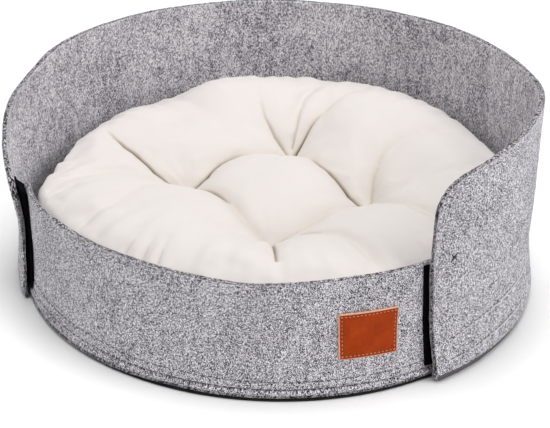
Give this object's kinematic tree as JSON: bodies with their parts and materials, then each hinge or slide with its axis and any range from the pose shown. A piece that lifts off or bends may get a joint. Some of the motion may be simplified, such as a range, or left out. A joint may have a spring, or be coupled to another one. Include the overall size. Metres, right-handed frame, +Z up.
{
  "type": "round felt cat bed with a detachable surround and a tufted cushion",
  "caption": "Round grey felt cat bed: low front wall, taller wrap-round surround, leather patch and a tufted ivory cushion.",
  "frame": {"origin": "centre of the round base, on its underside", "axes": "+Z up, -Y out of the low entrance at the front, +X to the right seen from the front"},
  "size_m": [0.5043, 0.4902, 0.198],
  "materials": {
    "felt": "grey melange needle felt",
    "base_felt": "black felt board",
    "hook_tape": "black hook and loop tape",
    "leather": "smooth cognac leather",
    "cushion_cover": "ivory brushed cotton"
  },
  "bodies": {
    "root": {"base_panel": "base_felt", "tray_wall": "felt", "surround_panel": "felt", "wall_tape_right": "hook_tape", "panel_tape_right": "hook_tape", "wall_tape_left": "hook_tape", "panel_tape_left": "hook_tape", "leather_patch": "leather", "cushion": "cushion_cover"}
  },
  "joints": []
}
